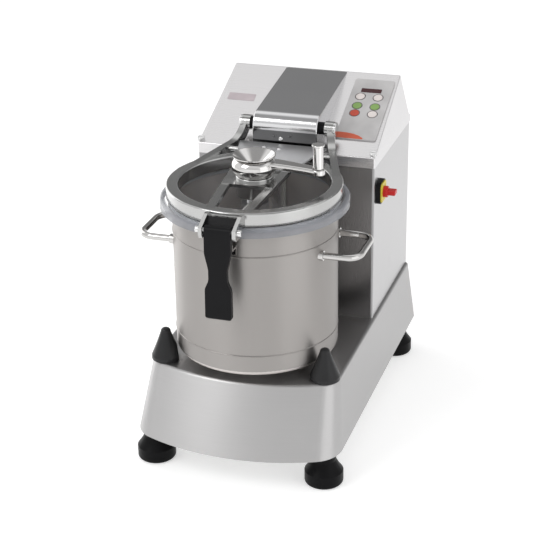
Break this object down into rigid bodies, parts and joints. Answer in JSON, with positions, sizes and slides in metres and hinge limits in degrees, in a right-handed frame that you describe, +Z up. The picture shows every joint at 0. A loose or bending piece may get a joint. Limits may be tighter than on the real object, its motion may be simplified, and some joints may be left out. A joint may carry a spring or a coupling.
{
  "type": "vegetable chopping machine",
  "caption": "Table-top vegetable chopping machine: steel bowl with a bladed rotor, hinged clear lid with a hand scraper and latch, sloping control head.",
  "frame": {"origin": "on the table, under the middle of the machine's bounding box", "axes": "+X to the right of someone who faces the bowl, +Y from the bowl to the column, +Z up"},
  "size_m": [0.416, 0.68, 0.6025],
  "materials": {
    "base_steel": "brushed stainless steel",
    "floor_steel": "plain steel sheet",
    "bowl_steel": "satin stainless steel",
    "handle_steel": "polished stainless rod",
    "column_steel": "brushed stainless steel",
    "head_steel": "fine satin stainless steel",
    "cover_steel": "polished stainless steel",
    "lid_steel": "polished cast stainless steel",
    "plate_steel": "satin stainless steel",
    "crank_steel": "polished stainless steel",
    "pin_steel": "turned and polished steel",
    "scraper_steel": "satin stainless steel",
    "blade_steel": "ground stainless steel",
    "rotor_steel": "turned stainless steel",
    "cast_parts": "turned cast iron",
    "motor_paint": "dark grey paint",
    "belt_rubber": "black belt",
    "foot_rubber": "black rubber",
    "seal_rubber": "pale silicone",
    "clear_plastic": "clear moulded plastic",
    "black_plastic": "black moulded plastic",
    "white_plastic": "white food plastic",
    "panel_grey": "grey printed membrane",
    "display_red": "dark red window",
    "board_green": "circuit board",
    "key_white": "white key",
    "key_green": "green key",
    "key_red": "red key",
    "plate_yellow": "yellow plastic",
    "knob_red": "red plastic"
  },
  "bodies": {
    "root": {"base_housing": "base_steel", "base_floor": "floor_steel", "feet": "foot_rubber", "foot_studs": "pin_steel", "bowl_guides": "foot_rubber", "cable_gland": "black_plastic", "bearing_housing": "cast_parts", "shaft_bearings": "rotor_steel", "drive_belt": "belt_rubber", "motor_body": "motor_paint", "bowl_body": "bowl_steel", "bowl_handles": "handle_steel", "bowl_catch": "handle_steel", "column_shell": "column_steel", "column_back": "column_steel", "head_cover": "head_steel", "head_screws": "pin_steel", "lid_arm_cover": "cover_steel", "hinge_brackets": "floor_steel", "hinge_shaft": "pin_steel", "hinge_spacers": "black_plastic", "control_panel": "panel_grey", "display_window": "display_red", "control_board": "board_green", "switch_base": "black_plastic", "switch_plate": "plate_yellow"},
    "rotor": {"drive_shaft": "rotor_steel", "rotor_pulley": "cast_parts", "rotor_hub": "rotor_steel", "rotor_cap": "rotor_steel", "blade_lower": "blade_steel", "blade_upper": "blade_steel", "blade_spacer": "rotor_steel"},
    "motor_rotor": {"motor_shaft": "rotor_steel", "motor_pulley": "cast_parts"},
    "lid": {"lid_frame": "lid_steel", "lid_plate": "plate_steel", "clear_lid": "clear_plastic", "lid_gasket": "seal_rubber", "hinge_caps": "pin_steel", "latch_bracket": "lid_steel", "latch_pin": "pin_steel", "latch_cover": "black_plastic"},
    "latch": {"latch_lever": "black_plastic"},
    "crank": {"crank_arm": "crank_steel", "crank_pin": "crank_steel", "funnel": "crank_steel", "scraper_shaft": "scraper_steel", "scraper_frame": "scraper_steel", "wall_wiper": "white_plastic", "lid_wiper": "white_plastic"},
    "grip": {"crank_grip": "crank_steel"},
    "switch": {"switch_knob": "knob_red"},
    "key_1": {"key_1": "key_white"},
    "key_2": {"key_2": "key_white"},
    "key_3": {"key_3": "key_green"},
    "key_4": {"key_4": "key_green"},
    "key_5": {"key_5": "key_red"},
    "key_6": {"key_6": "key_white"}
  },
  "joints": [
    {"name": "lid_hinge", "type": "hinge", "parent": "root", "child": "lid", "pos_m": [0, 0.07, 0.5495], "axis": [-1, 0, 0], "range_deg": [0, 80]},
    {"name": "latch_swing", "type": "hinge", "parent": "lid", "child": "latch", "pos_m": [0, -0.326, 0.495], "axis": [-1, 0, 0], "range_deg": [0, 90]},
    {"name": "crank_spin", "type": "hinge", "parent": "lid", "child": "crank", "pos_m": [0, -0.134, 0.52], "axis": [0, 0, 1], "continuous": true},
    {"name": "grip_spin", "type": "hinge", "parent": "crank", "child": "grip", "pos_m": [0.116, -0.134, 0.568], "axis": [0, 0, 1], "continuous": true},
    {"name": "rotor_spin", "type": "hinge", "parent": "root", "child": "rotor", "pos_m": [0, -0.134, 0.2], "axis": [0, 0, 1], "continuous": true},
    {"name": "motor_spin", "type": "hinge", "parent": "root", "child": "motor_rotor", "pos_m": [0, 0.19, 0.112], "axis": [0, 0, 1], "continuous": true},
    {"name": "switch_turn", "type": "hinge", "parent": "root", "child": "switch", "pos_m": [0.185, 0.082, 0.4325], "axis": [1, 0, 0], "range_deg": [0, 90]},
    {"name": "key_1_press", "type": "slide", "parent": "root", "child": "key_1", "axis": [0, 0.3975, -0.9176], "range_m": [0, 0.0006], "stiffness_N_per_m": 600},
    {"name": "key_2_press", "type": "slide", "parent": "root", "child": "key_2", "axis": [0, 0.3975, -0.9176], "range_m": [0, 0.0006], "stiffness_N_per_m": 600},
    {"name": "key_3_press", "type": "slide", "parent": "root", "child": "key_3", "axis": [0, 0.3975, -0.9176], "range_m": [0, 0.0006], "stiffness_N_per_m": 600},
    {"name": "key_4_press", "type": "slide", "parent": "root", "child": "key_4", "axis": [0, 0.3975, -0.9176], "range_m": [0, 0.0006], "stiffness_N_per_m": 600},
    {"name": "key_5_press", "type": "slide", "parent": "root", "child": "key_5", "axis": [0, 0.3975, -0.9176], "range_m": [0, 0.0006], "stiffness_N_per_m": 600},
    {"name": "key_6_press", "type": "slide", "parent": "root", "child": "key_6", "axis": [0, 0.3975, -0.9176], "range_m": [0, 0.0006], "stiffness_N_per_m": 600}
  ],
  "couplings": [
    {"joint": "motor_spin", "follows": "rotor_spin", "ratio": 2}
  ]
}
